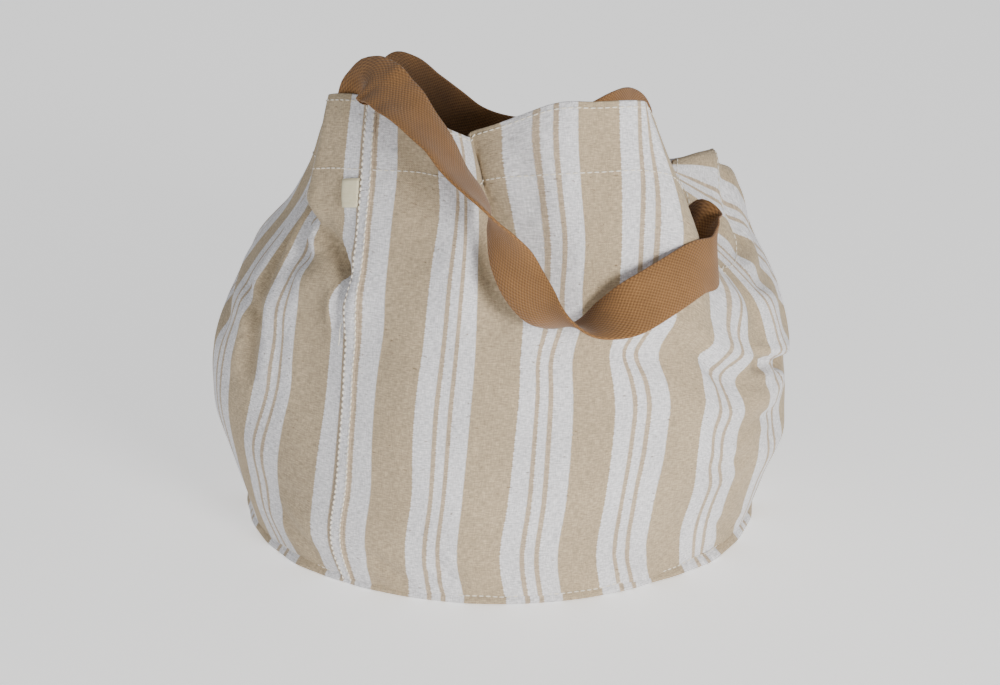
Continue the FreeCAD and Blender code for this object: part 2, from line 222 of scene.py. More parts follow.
# One line per place round the bag, counted in stripe repeats from the left side seam.
# Each point is x, y, z in mm, one for each level above 0, where the cloth stands on the base's edge.
SCULPT = [
    # left side seam, stripe group at the front left
    (0.0, [(-120, -176, 36), (-115, -182, 84), (-110, -178, 133), (-107, -170, 180), (-103, -160, 224),
           (-98, -151, 262), (-94, -141, 298), (-92, -131, 331), (-90, -123, 355)]),
    (0.5, [(-83, -194, 36), (-79, -199, 85), (-75, -197, 134), (-70, -190, 182), (-65, -181, 228),
           (-61, -171, 266), (-58, -162, 302), (-57, -153, 333), (-57, -146, 349)]),
    # second group, left of the deep standing fold
    (1.0, [(-50, -205, 36), (-45, -208, 85), (-40, -206, 134), (-36, -201, 182), (-31, -194, 229),
           (-28, -186, 267), (-27, -177, 301), (-28, -167, 326), (-31, -161, 340)]),
    (1.33, [(-28, -208, 36), (-24, -211, 85), (-19, -210, 134), (-15, -205, 182), (-13, -194, 229),
            (-12, -182, 266), (-14, -168, 297), (-17, -157, 320), (-20, -151, 334)]),
    (1.52, [(-14, -208, 36), (-9, -212, 85), (-4, -211, 134), (0, -205, 182), (1, -191, 229),
            (-4, -173, 266), (-9, -158, 297), (-15, -151, 322), (-19, -148, 337)]),
    (1.66, [(-4, -207, 36), (2, -211, 85), (7, -211, 134), (11, -206, 182), (11, -194, 230),
            (7, -180, 268), (2, -168, 301), (-3, -159, 327), (-5, -155, 343)]),
    # third and fourth groups, the flat front
    (2.0, [(21, -207, 36), (26, -211, 85), (29, -210, 134), (32, -206, 182), (37, -199, 231),
           (39, -190, 270), (35, -182, 306), (32, -174, 337), (32, -168, 360)]),
    (2.5, [(56, -202, 36), (62, -207, 85), (66, -207, 134), (66, -203, 182), (69, -196, 231),
           (71, -188, 270), (69, -179, 307), (67, -172, 338), (66, -167, 362)]),
    (3.0, [(88, -190, 36), (94, -197, 85), (98, -198, 134), (97, -194, 182), (100, -188, 230),
           (103, -180, 269), (103, -172, 306), (100, -165, 337), (98, -160, 361)]),
    (3.32, [(109, -180, 36), (117, -187, 84), (121, -188, 132), (119, -184, 178), (123, -178, 224),
            (130, -170, 262), (124, -162, 298), (112, -157, 331), (103, -153, 356)]),
    # the front's folded edge, where the cloth turns back behind itself
    (3.5, [(121, -172, 36), (129, -180, 83), (133, -181, 130), (132, -176, 174), (138, -168, 214),
           (143, -158, 250), (132, -147, 286), (118, -141, 318), (108, -138, 344)]),
    (3.75, [(136, -161, 35), (144, -168, 80), (147, -169, 125), (148, -163, 164), (153, -151, 198),
            (149, -136, 228), (134, -124, 258), (122, -120, 286), (113, -118, 312)]),
    # fifth group, wrinkled, its top drawn in beside the handle
    (4.0, [(150, -150, 34), (158, -156, 74), (160, -156, 113), (162, -148, 150), (170, -132, 182),
           (173, -118, 206), (164, -108, 222), (151, -101, 237), (140, -97, 251)]),
    (4.5, [(177, -119, 33), (185, -127, 71), (188, -129, 107), (189, -127, 138), (190, -115, 168),
           (184, -105, 196), (170, -98, 217), (152, -92, 235), (138, -87, 252)]),
    # sixth and seventh groups, running slantwise over the right shoulder, and the plain cloth beyond
    (5.0, [(199, -82, 33), (207, -92, 71), (209, -97, 107), (210, -98, 136), (211, -92, 168),
           (199, -92, 197), (180, -88, 217), (159, -84, 237), (136, -81, 257)]),
    (5.5, [(213, -39, 34), (222, -52, 75), (221, -64, 112), (217, -72, 141), (215, -66, 173),
           (204, -62, 204), (186, -64, 228), (164, -67, 248), (136, -72, 270)]),
    (6.0, [(215, 2, 36), (226, -14, 80), (225, -26, 122), (218, -34, 166), (206, -36, 206),
           (191, -42, 234), (172, -50, 256), (152, -57, 272), (130, -63, 285)]),
    (6.5, [(211, 33, 36), (223, 18, 82), (221, 8, 128), (213, -2, 180), (198, -4, 227),
           (183, -12, 266), (167, -24, 289), (151, -40, 295), (130, -54, 293)]),
    (7.0, [(203, 62, 37), (215, 48, 85), (217, 36, 132), (208, 30, 182), (193, 30, 226),
           (177, 22, 258), (163, 8, 276), (149, -12, 284), (131, -30, 284)]),
    (8.0, [(170, 119, 37), (177, 106, 85), (180, 95, 133), (178, 86, 178), (171, 78, 216),
           (163, 62, 246), (155, 42, 264), (145, 22, 271), (133, 6, 270)]),
    # the back, held in by the cloth's own girth and leaning in over the mouth
    (9.0, [(113, 165, 38), (116, 149, 87), (119, 135, 135), (121, 125, 183), (119, 112, 227),
           (113, 92, 257), (107, 65, 277), (102, 40, 288), (98, 22, 284)]),
    (10.0, [(47, 193, 38), (49, 174, 87), (50, 157, 135), (52, 145, 183), (54, 131, 228),
            (53, 108, 259), (51, 80, 279), (50, 57, 288), (49, 40, 285)]),
    (11.0, [(-23, 195, 38), (-22, 176, 87), (-22, 159, 135), (-18, 148, 183), (-13, 134, 229),
            (-10, 110, 260), (-8, 82, 280), (-6, 59, 288), (-4, 43, 286)]),
    (12.0, [(-91, 176, 38), (-92, 157, 87), (-93, 143, 135), (-90, 132, 183), (-79, 118, 228),
            (-67, 96, 261), (-59, 72, 282), (-55, 51, 291), (-54, 37, 290)]),
    (13.0, [(-149, 134, 37), (-156, 118, 86), (-160, 106, 134), (-156, 98, 182), (-139, 86, 226),
            (-120, 68, 260), (-105, 48, 285), (-96, 32, 298), (-92, 22, 302)]),
    (14.0, [(-192, 75, 37), (-203, 62, 85), (-208, 52, 133), (-202, 46, 180), (-178, 38, 223),
            (-153, 26, 258), (-135, 14, 287), (-124, 4, 307), (-117, -2, 320)]),
    (15.0, [(-210, 5, 36), (-223, -4, 84), (-225, -12, 132), (-212, -16, 179), (-190, -17, 221),
            (-161, -23, 257), (-143, -31, 288), (-134, -38, 314), (-127, -42, 334)]),
    (16.0, [(-203, -66, 36), (-214, -74, 84), (-216, -79, 132), (-202, -80, 178), (-181, -75, 218),
            (-156, -70, 252), (-137, -67, 286), (-125, -68, 318), (-117, -71, 342)]),
    # left of the seam: one group that a tuck hides near the top, beside a plain fold
    (16.5, [(-194, -92, 36), (-199, -100, 84), (-196, -106, 132), (-185, -107, 178), (-169, -98, 220),
            (-151, -91, 254), (-127, -80, 286), (-115, -77, 320), (-110, -79, 345)]),
    (17.0, [(-179, -116, 36), (-180, -124, 84), (-172, -129, 131), (-161, -129, 178), (-150, -118, 222),
            (-137, -103, 254), (-124, -92, 286), (-112, -86, 320), (-105, -85, 346)]),
    (17.3, [(-166, -134, 36), (-164, -141, 84), (-157, -143, 132), (-149, -140, 178), (-142, -128, 222),
            (-136, -120, 256), (-137, -109, 290), (-129, -103, 326), (-123, -98, 352)]),
    (17.5, [(-154, -148, 36), (-150, -155, 84), (-142, -154, 132), (-134, -149, 180), (-126, -138, 224),
            (-121, -129, 260), (-124, -120, 294), (-119, -113, 328), (-114, -108, 355)]),
]


def smooth_through(stations, values, wanted, period=None):
    """Values at the wanted places on a Catmull-Rom curve through the stations."""
    stations = list(stations)
    values = [np.asarray(v, float) for v in values]
    if period:
        stations = ([stations[-2] - period, stations[-1] - period] + stations
                    + [stations[0] + period, stations[1] + period])
        values = [values[-2], values[-1]] + values + [values[0], values[1]]
    else:
        stations = [2 * stations[0] - stations[1]] + stations + [2 * stations[-1] - stations[-2]]
        values = [2 * values[0] - values[1]] + values + [2 * values[-1] - values[-2]]
    out = []
    for place in wanted:
        i = max(1, min(len(stations) - 3, int(np.searchsorted(stations, place, side="right")) - 1))
        a, b, c, d = stations[i - 1:i + 3]
        pa, pb, pc, pd = values[i - 1:i + 3]
        t = (place - b) / (c - b)
        slope_b = ((pc - pb) / (c - b) * (b - a) + (pb - pa) / (b - a) * (c - b)) / (c - a)
        slope_c = ((pd - pc) / (d - c) * (c - b) + (pc - pb) / (c - b) * (d - c)) / (d - b)
        h = c - b
        out.append((2 * t ** 3 - 3 * t ** 2 + 1) * pb + (t ** 3 - 2 * t ** 2 + t) * h * slope_b
                   + (-2 * t ** 3 + 3 * t ** 2) * pc + (t ** 3 - t ** 2) * h * slope_c)
    return out


def base_edge(repeats):
    """A point on the base's edge; the left seam stands 33 degrees left of the front."""
    angle = math.radians(-33.0 + 20.0 * repeats)
    return (BASE_RADIUS * math.sin(angle), -BASE_RADIUS * math.cos(angle), 0.0)


AROUND = 324                 # cells round the bag, eighteen to a repeat
UP = 96                      # cells from base to rim
places_round = [ROUND * i / AROUND for i in range(AROUND)]
places_up = [TALL * j / UP for j in range(UP + 1)]


def sculpted_grid():
    """The cloth's surface as an array of points, up by round by xyz, in mm."""
    lines = [[base_edge(place)] + points for place, points in SCULPT]
    places = [place for place, points in SCULPT]
    rings = []
    for level in range(len(LEVELS)):
        rings.append(smooth_through(places, [line[level] for line in lines], places_round, ROUND))
    grid = np.zeros((UP + 1, AROUND, 3))
    for i in range(AROUND):
        grid[:, i] = smooth_through(LEVELS, [ring[i] for ring in rings], places_up)
    return grid


def outward(grid):
    """Unit normals of a grid of points that closes round the bag."""
    along = np.roll(grid, -1, axis=1) - np.roll(grid, 1, axis=1)
    upward = np.gradient(grid, axis=0)
    normals = np.cross(along, upward)
    return normals / np.maximum(np.linalg.norm(normals, axis=2, keepdims=True), 1e-9)


flat_round, flat_up = np.meshgrid(np.array(places_round) * REPEAT, np.array(places_up))


def round_gap(place):
    """Distance round the bag from a place in repeats, in mm, shortest way."""
    gap = flat_round - place * REPEAT
    return gap - GIRTH * np.round(gap / GIRTH)


# Where the slumped cloth is pushed about: repeats round, mm up, mm sideways, mm outwards,
# and the push's half width and half height in mm.
PUSHES = [
    # wrinkled stretch below the strap's right end
    (4.05, 226, 7.0, 2.5, 34, 12), (4.1, 197, -7.0, -2.5, 34, 13), (4.05, 163, 4.0, 2.0, 34, 14),
    (3.1, 198, -6.5, -1.5, 30, 15), (3.15, 228, 4.0, 2.5, 30, 13), (3.1, 160, 2.5, 1.0, 30, 18),
    (2.1, 196, -2.0, -1.0, 30, 16), (2.1, 226, 2.0, 1.5, 30, 14),
    (4.65, 214, 0.0, -7.0, 22, 10), (4.8, 178, 0.0, 4.0, 40, 16), (5.3, 196, 0.0, -9.0, 30, 9),
    (5.6, 222, 2.0, 5.0, 44, 12), (4.2, 120, -3.0, 1.0, 30, 22), (4.2, 84, 3.0, -1.5, 30, 20),
    (3.2, 84, -2.5, 0.5, 26, 24), (5.0, 130, 0.0, -3.0, 26, 20), (5.2, 92, 0.0, 2.5, 26, 20),
    # left of the front seam, where the back of the bag drops away
    (17.2, 262, 3.5, -6.0, 22, 12), (17.45, 238, 0.0, 4.0, 30, 16), (16.9, 214, -2.5, 3.0, 26, 20),
    (17.7, 252, 2.0, -8.0, 12, 16), (17.8, 226, -3.0, 3.5, 14, 16), (0.1, 262, 1.5, 1.5, 16, 22),
    (17.1, 150, 2.0, -2.0, 30, 22), (16.8, 96, -2.5, 2.0, 30, 24), (17.3, 60, 0.0, -2.5, 24, 18),
    (0.25, 214, 1.5, -1.6, 18, 26), (0.8, 150, -1.2, 1.2, 30, 30), (0.55, 90, 1.4, -1.2, 26, 24),
    # the dip in the rim and the hollow under the strap
    (0.75, 300, 1.0, -4.5, 20, 26), (1.6, 330, 0.0, 4.0, 12, 30), (1.45, 262, 0.0, -5.0, 14, 30),
    (1.35, 214, 0.0, -2.5, 18, 30), (1.0, 246, 0.0, 2.2, 16, 30), (0.45, 330, 0.0, -3.0, 14, 22),
]

# Sharp creases: from (repeats round, mm up) to (repeats round, mm up), depth and half width in mm.
CREASES = [
    ((17.05, 305), (17.78, 250), 7.0, 7.0), ((16.35, 300), (16.6, 150), 5.0, 9.0),
    ((16.0, 226), (16.55, 196), 3.0, 7.0), ((17.85, 250), (17.82, 205), 4.5, 6.0),
    ((4.35, 226), (5.4, 196), 5.0, 6.5), ((5.0, 300), (6.4, 250), 3.0, 10.0),
    ((5.2, 330), (7.0, 300), 4.0, 9.0), ((6.6, 262), (7.9, 240), 3.0, 11.0),
    ((3.55, 212), (3.95, 190), 3.0, 6.0), ((2.7, 206), (3.25, 190), 2.0, 7.0),
    ((4.5, 150), (5.1, 138), 2.5, 8.0), ((3.8, 102), (4.5, 112), 1.6, 8.0),
    ((1.72, 372), (1.9, 300), 1.8, 5.0), ((0.62, 372), (1.0, 300), 2.4, 6.0),
    ((0.30, 36), (0.75, 12), 2.2, 5.0), ((1.0, 44), (1.35, 10), 1.8, 5.0), ((0.9, 26), (1.3, 30), 1.5, 4.0),
    ((17.2, 52), (17.7, 18), 2.0, 7.0), ((2.9, 40), (3.3, 12), 1.2, 6.0), ((4.2, 40), (4.7, 14), 2.2, 7.0),
    ((8.3, 300), (8.9, 210), 4.0, 9.0), ((9.4, 330), (9.8, 230), 4.0, 9.0),
    ((10.6, 330), (10.4, 240), 3.5, 9.0), ((11.6, 335), (11.9, 236), 4.0, 9.0),
    ((12.6, 330), (12.3, 240), 3.5, 9.0), ((13.5, 330), (13.9, 220), 4.0, 9.0),
    ((14.6, 330), (14.4, 230), 3.5, 9.0),
    ((9.0, 150), (10.3, 176), 2.5, 12.0), ((11.2, 120), (12.6, 150), 2.5, 12.0),
    ((13.0, 170), (14.4, 140), 2.5, 12.0), ((15.0, 210), (15.9, 176), 3.0, 10.0),
    ((7.2, 130), (8.3, 110), 2.5, 12.0), ((14.8, 100), (15.8, 78), 2.0, 11.0),
]


def pushed(grid):
    """The grid after every push, sideways along the cloth and outwards from it."""
    normals = outward(grid)
    along = np.roll(grid, -1, axis=1) - np.roll(grid, 1, axis=1)
    along /= np.linalg.norm(along, axis=2, keepdims=True)
    for place, up, sideways, out, half_wide, half_tall in PUSHES:
        weight = np.exp(-(round_gap(place) / half_wide) ** 2 - ((flat_up - up) / half_tall) ** 2)
        grid = grid + weight[..., None] * (along * sideways + normals * out)
    return grid


def creased(grid):
    """The grid with each crease pressed in and the cloth on both sides of it raised a little."""
    normals = outward(grid)
    for (start, start_up), (end, end_up), depth, half_width in CREASES:
        run = np.array([(end - start) * REPEAT, end_up - start_up])
        long = np.linalg.norm(run)
        run /= long
        right, above = round_gap(start), flat_up - start_up
        forward = right * run[0] + above * run[1]
        off = np.abs(right * run[1] - above * run[0])
        ends = np.clip((np.minimum(forward, long - forward) + half_width) / (2.5 * half_width), 0, 1)
        fade = ends * ends * (3 - 2 * ends)
        shape = -np.exp(-(off / half_width) ** 2) + 0.42 * np.exp(-((off - 2 * half_width) / half_width) ** 2)
        grid = grid + (normals * (depth * fade * shape)[..., None])
    return grid


def rippled(grid):
    """The grid with the small soft ripples that washed linen has."""
    ripple = (0.45 * np.sin(flat_round / 17.0 + 1.3 * np.sin(flat_up / 41.0)) * np.sin(flat_up / 23.0 + 0.7)
              + 0.30 * np.sin(flat_up / 9.5 + 2.0 * np.sin(flat_round / 33.0)) * np.sin(flat_round / 27.0)
              + 0.25 * np.sin(flat_round / 7.3 + flat_up / 13.0) * np.sin(flat_up / 31.0 + 2.0))
    # at the back the cloth is fuller than the gathered mouth, and takes that up in soft pleats
    repeats = flat_round / REPEAT
    back = np.clip((repeats - 7.2) / 1.6, 0, 1) * np.clip((15.8 - repeats) / 1.5, 0, 1)
    high = np.clip((flat_up - 205.0) / 90.0, 0, 1)
    wander = flat_round + 9.0 * np.sin(flat_up / 47.0 + flat_round / 120.0)
    pleats = 6.0 * np.sin(2 * math.pi * wander / 47.0) * back * high * (1.0 + 0.4 * np.sin(flat_round / 61.0))
    return grid + outward(grid) * (ripple + pleats)[..., None]


cloth_grid = rippled(creased(pushed(sculpted_grid())))
cloth_grid[0] = sculpted_grid()[0]
cloth_normals = outward(cloth_grid)


def on_cloth(repeats, up, lift=0.0):
    """A point of the cloth and its outward normal, at a place round and a height up, lifted in mm."""
    across = (repeats / ROUND % 1.0) * AROUND
    rise = min(max(up / TALL, 0.0), 1.0) * UP
    i, j = int(across) % AROUND, min(int(rise), UP - 1)
    a, b = across - int(across), rise - j
    corner = ((i, j, (1 - a) * (1 - b)), ((i + 1) % AROUND, j, a * (1 - b)),
              (i, j + 1, (1 - a) * b), ((i + 1) % AROUND, j + 1, a * b))
    point = sum(cloth_grid[row, column] * share for column, row, share in corner)
    normal = sum(cloth_normals[row, column] * share for column, row, share in corner)
    normal = normal / np.linalg.norm(normal)
    return point + normal * lift, normal


# ------------------------------------------------------------------ striped linen and cotton cloth
# One plain-woven length makes the wall and its turned-in hem: natural linen with groups of white cotton
# stripes, 41 mm of white cut by two narrow linen lines, repeating every 71.6 mm. Slubs show as short
# level streaks and a few dark flecks. The cloth turns in over the rim and lies double for the hem.

WHITE_COTTON = "DDDBDD"
NATURAL_LINEN = "B3A083"
LINEN_LINE = "B7A48C"
FLECK = "6E5A42"
THREAD_PITCH = 1.5           # mm; real threads are 0.6 mm apart, which is too fine to see


def striped_linen():
    """Plain-woven linen and cotton, striped along the piece's UV map, whose unit is a millimetre."""
    material, tree, surface = new_material("striped_woven_linen_cotton")
    place = add_node(tree, "ShaderNodeUVMap", {"uv_map": "cloth_mm"}).outputs[0]
    across = add_node(tree, "ShaderNodeSeparateXYZ", links={0: place}).outputs[0]
    streaks = noise(tree, stretched(tree, place, 0.24, 1.05), 1.0, 3.0)
    yarns = noise(tree, stretched(tree, place, 1.15, 0.22), 1.0, 2.0)

    # the stripe's edge steps in and out by half a millimetre from thread to thread
    step = worked(tree, "MULTIPLY_ADD", streaks, 1.6, -0.8)
    shifted = worked(tree, "ADD", across, step)
    middle_out = worked(tree, "PINGPONG", shifted, REPEAT / 2)
    share = worked(tree, "DIVIDE", middle_out, REPEAT / 2)
    stripes = add_node(tree, "ShaderNodeValToRGB", links={0: share})
    ramp = stripes.color_ramp
    edges = [(0.0, WHITE_COTTON), (3.1, WHITE_COTTON), (3.7, LINEN_LINE), (6.7, LINEN_LINE),
             (7.3, WHITE_COTTON), (20.3, WHITE_COTTON), (20.9, NATURAL_LINEN), (35.8, NATURAL_LINEN)]
    while len(ramp.elements) < len(edges):
        ramp.elements.new(0.5)
    for element, (distance, code) in zip(ramp.elements, edges):
        element.position = distance / (REPEAT / 2)
        element.color = colour(code)

    slubs = spread(tree, streaks, 0.3, 0.72, 0.74, 1.16)
    warps = spread(tree, yarns, 0.3, 0.7, 0.84, 1.10)
    wash = spread(tree, noise(tree, place, 0.018, 3.0), 0.3, 0.7, 0.92, 1.03)
    tone = worked(tree, "MULTIPLY", worked(tree, "MULTIPLY", slubs, warps), wash)
    shaded = mixed(tree, 1.0, stripes.outputs[0], tone, "MULTIPLY")

    # a few husks of flax, about 3 mm long
    husks = noise(tree, stretched(tree, place, 0.16, 0.42), 1.0, 4.0)
    husk_mask = spread(tree, husks, 0.715, 0.77, 0.0, 0.7)
    tree.links.new(mixed(tree, husk_mask, shaded, colour(FLECK)), surface.inputs["Base Color"])

    # plain weave: threads cross over and under each other, each a low ridge
    over = add_node(tree, "ShaderNodeVectorMath", {"operation": "SCALE", "Scale": 2 * math.pi / THREAD_PITCH},
                    {0: place})
    thread_axes = add_node(tree, "ShaderNodeSeparateXYZ", links={0: over.outputs[0]})
    warp_wave = worked(tree, "SINE", thread_axes.outputs[0])
    weft_wave = worked(tree, "SINE", thread_axes.outputs[1])
    weave = worked(tree, "MULTIPLY_ADD", warp_wave, weft_wave, streaks)
    soft = raised(tree, noise(tree, place, 0.055, 4.0, 0.62), 0.55, 0.004)
    tree.links.new(raised(tree, weave, 0.30, 0.0004, soft), surface.inputs["Normal"])
    surface.inputs["Roughness"].default_value = 0.92
    surface.inputs["Sheen Weight"].default_value = 0.12
    surface.inputs["Sheen Roughness"].default_value = 0.6
    return material


linen = striped_linen()


def strip_mesh(name, rows, across, up, material, closed=True):
    """A sheet from rows of points, each row going round; across and up are its flat places in mm."""
    rows = np.asarray(rows, float)
    count, wide = rows.shape[:2]
    last = wide if closed else wide - 1
    faces, corners = [], []
    for j in range(count - 1):
        for i in range(last):
            k = (i + 1) % wide
            faces.append((j * wide + i, j * wide + k, (j + 1) * wide + k, (j + 1) * wide + i))
            right = across[i + 1] if i + 1 < len(across) else GIRTH
            corners += [(across[i], up[j]), (right, up[j]), (right, up[j + 1]), (across[i], up[j + 1])]
    obj = mesh_object(name, rows.reshape(-1, 3) * MM, faces, material)
    layer = obj.data.uv_layers.new(name="cloth_mm")
    layer.data.foreach_set("uv", np.array(corners, float).ravel())
    return obj


def thicken(obj, thickness, offset):
    solid = obj.modifiers.new("thickness", "SOLIDIFY")
    solid.thickness = thickness * MM
    solid.offset = offset
    solid.use_even_offset = False
    return bake(obj)


def wall_rows():
    """Wall, fold and hem as one run of rows, from the base up the outside and down the inside."""
    rows = [cloth_grid[j] for j in range(UP + 1)]
    ups = list(places_up)
    inside = 2.0 * CLOTH_THICK
    lean = cloth_grid[UP] - cloth_grid[UP - 2]
    lean /= np.linalg.norm(lean, axis=1, keepdims=True)
    for turn in (0.25, 0.5, 0.75):
        angle = math.pi * turn
        rows.append(cloth_grid[UP] - cloth_normals[UP] * inside / 2 * (1 - math.cos(angle))
                    + lean * inside / 2 * math.sin(angle))
        ups.append(TALL + 1.6 * turn)
    for j in range(UP, int(UP * (1 - (HEM + 3) / TALL)), -1):
        rows.append(cloth_grid[j] - cloth_normals[j] * inside)
        ups.append(2 * TALL + 3.0 - places_up[j])
    return rows, ups


wall, wall_ups = wall_rows()
cloth = strip_mesh("striped_cloth_wall", wall, [p * REPEAT for p in places_round], wall_ups, linen)
cloth = thicken(cloth, CLOTH_THICK, -1.0)
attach(cloth, "bag")
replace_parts(cloth, "front_panel", "back_panel", "front_hem", "back_hem")


# ------------------------------------------------------------------ round base and its welt
# The base is one round of the same cloth. Wall and base are sewn together with the seam allowance
# turned outwards and topstitched, so a flat welt 8 mm high runs round the floor line.

WELT_HIGH = 8.5
WELT_THICK = 2.6
WELT_CLEAR = 1.9             # welt's lower edge above the floor
BASE_CLEAR = 2.2             # base's lower face above the floor


def welt_reach(repeats):
    """How far the welt stands out, in mm; it juts out at the right and left where the wall slumps."""
    right = math.exp(-((repeats - 4.35) / 0.75) ** 2)
    left = math.exp(-((repeats + 0.9 if repeats < 9 else repeats - 17.1) / 0.6) ** 2)
    return 2.2 + 4.5 * right + 3.0 * left + 0.5 * math.sin(repeats * 5.1) + 0.35 * math.sin(repeats * 11.0)


def welt_rows():
    rows, ups = [], []
    for share, up in ((0.0, 0.0), (0.35, 3.0), (0.7, 6.0), (1.0, WELT_HIGH)):
        row = []
        for place in places_round:
            foot = np.array(base_edge(place))
            away = foot / np.linalg.norm(foot)
            reach = welt_reach(place)
            dip = 0.7 * math.sin(place * 7.0) + 0.5 * math.sin(place * 13.0 + 1.0)
            radius = BASE_RADIUS + reach * (1.0 - share) + 1.4 * (1.0 - share * share) - 0.4
            lift = WELT_CLEAR + (WELT_HIGH - WELT_CLEAR + dip) * share
            row.append(away * radius + np.array((0.0, 0.0, lift)))
        rows.append(row)
        ups.append(up - WELT_HIGH)
    return rows, ups


welt, welt_ups = welt_rows()
base_welt = strip_mesh("base_welt_strip", welt, [p * REPEAT for p in places_round], welt_ups, linen)
base_welt = thicken(base_welt, WELT_THICK, -1.0)
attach(base_welt, "bag")
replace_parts(base_welt, "base_welt")


def base_rows():
    """Rings from the middle of the base out to the welt, nearly flat on the floor."""
    rows = []
    for radius in (0.5, 30.0, 60.0, 90.0, 120.0, 150.0, 175.0, 195.0, 203.0):
        row = []
        for place in places_round[::3]:
            away = np.array(base_edge(place)) / BASE_RADIUS
            swell = 0.35 * math.sin(place * 2.1 + radius / 31.0) * math.sin(radius / 65.0)
            row.append(away * radius + np.array((0.0, 0.0, BASE_CLEAR + swell)))
        rows.append(row)
    return rows


def round_panel(name):
    """The base as one flat round, its UV map laid straight across it."""
    rings = np.array(base_rows())
    count, turn = rings.shape[:2]
    faces = [tuple(range(turn - 1, -1, -1))]
    for j in range(count - 1):
        for i in range(turn):
            k = (i + 1) % turn
            faces.append((j * turn + i, j * turn + k, (j + 1) * turn + k, (j + 1) * turn + i))
    panel = mesh_object(name, rings.reshape(-1, 3) * MM, faces, linen)
    layer = panel.data.uv_layers.new(name="cloth_mm")
    for loop in panel.data.loops:
        point = panel.data.vertices[loop.vertex_index].co
        layer.data[loop.index].uv = (point.x / MM, point.y / MM)
    return thicken(panel, CLOTH_THICK, 0.0)


base = round_panel("round_base")
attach(base, "bag")
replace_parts(base, "base_panel")


# ------------------------------------------------------------------ stitching
# Cream cotton thread in lockstitch. Rim, hem and base have one row, 5 mm from stitch to stitch;
# each side seam has two rows set closer, beside the edges of its felled strip.

THREAD_CREAM = "EFE9DC"
THREAD_SHADE = "D9D0BE"
PLY_SCALE = 1400.0           # per metre
STITCH_PITCH = 5.0
STITCH_LIFT = 0.35           # a stitch's middle above the cloth
SEAM_PITCH = 4.4
ROW_STITCH = (STITCH_PITCH, 4.1, 1.0, 0.8)


def cotton_thread():
    """Twisted cotton thread: cream, matt, with the ply showing as slanting ridges."""
    material, tree, surface = new_material("twisted_cotton_thread")
    place = add_node(tree, "ShaderNodeTexCoord")
    ply = add_node(tree, "ShaderNodeTexNoise", {"Scale": PLY_SCALE, "Detail": 1.0},
                   {"Vector": place.outputs["Object"]}).outputs["Fac"]
    tree.links.new(mixed(tree, ply, colour(THREAD_SHADE), colour(THREAD_CREAM)), surface.inputs["Base Color"])
    tree.links.new(raised(tree, ply, 0.4, 0.0002), surface.inputs["Normal"])
    surface.inputs["Roughness"].default_value = 0.7
    return material


thread = cotton_thread()


def stitch_tree(name):
    """Geometry Nodes: even stitches along lines, each lying on the cloth by the line's outward attribute."""
    tree = bpy.data.node_groups.new(name, "GeometryNodeTree")
    sockets = tree.interface
    sockets.new_socket("Geometry", in_out="INPUT", socket_type="NodeSocketGeometry")
    for label, value in (("Pitch", 0.005), ("Length", 0.004), ("Width", 0.001), ("Height", 0.0007)):
        socket = sockets.new_socket(label, in_out="INPUT", socket_type="NodeSocketFloat")
        socket.default_value = value
    sockets.new_socket("Thread", in_out="INPUT", socket_type="NodeSocketMaterial")
    sockets.new_socket("Geometry", in_out="OUTPUT", socket_type="NodeSocketGeometry")
    given = tree.nodes.new("NodeGroupInput")
    lines = add_node(tree, "GeometryNodeMeshToCurve", links={0: given.outputs["Geometry"]})
    even = add_node(tree, "GeometryNodeResampleCurve", {"mode": "LENGTH"},
                    {"Curve": lines.outputs[0], "Length": given.outputs["Pitch"]})
    bead = add_node(tree, "GeometryNodeMeshUVSphere", {"Segments": 8, "Rings": 5, "Radius": 0.5})
    scale = add_node(tree, "ShaderNodeCombineXYZ", links={
        0: given.outputs["Length"], 1: given.outputs["Width"], 2: given.outputs["Height"]})
    shaped = add_node(tree, "GeometryNodeTransform",
                      links={"Geometry": bead.outputs[0], "Scale": scale.outputs[0]})
    tangent = tree.nodes.new("GeometryNodeInputTangent")
    facing = add_node(tree, "GeometryNodeInputNamedAttribute",
                      {"data_type": "FLOAT_VECTOR", "Name": "outward"})
    along = add_node(tree, "FunctionNodeAlignRotationToVector", {"axis": "X"}, {"Vector": tangent.outputs[0]})
    lying = add_node(tree, "FunctionNodeAlignRotationToVector", {"axis": "Z", "pivot_axis": "X"},
                     {"Rotation": along.outputs[0], "Vector": facing.outputs[0]})
    stitches = add_node(tree, "GeometryNodeInstanceOnPoints", links={
        "Points": even.outputs[0], "Instance": shaped.outputs[0], "Rotation": lying.outputs[0]})
    real = add_node(tree, "GeometryNodeRealizeInstances", links={0: stitches.outputs[0]})
    dyed = add_node(tree, "GeometryNodeSetMaterial",
                    links={0: real.outputs[0], "Material": given.outputs["Thread"]})
    result = tree.nodes.new("NodeGroupOutput")
    tree.links.new(dyed.outputs[0], result.inputs[0])
    return tree


stitching = stitch_tree("lockstitch_row")


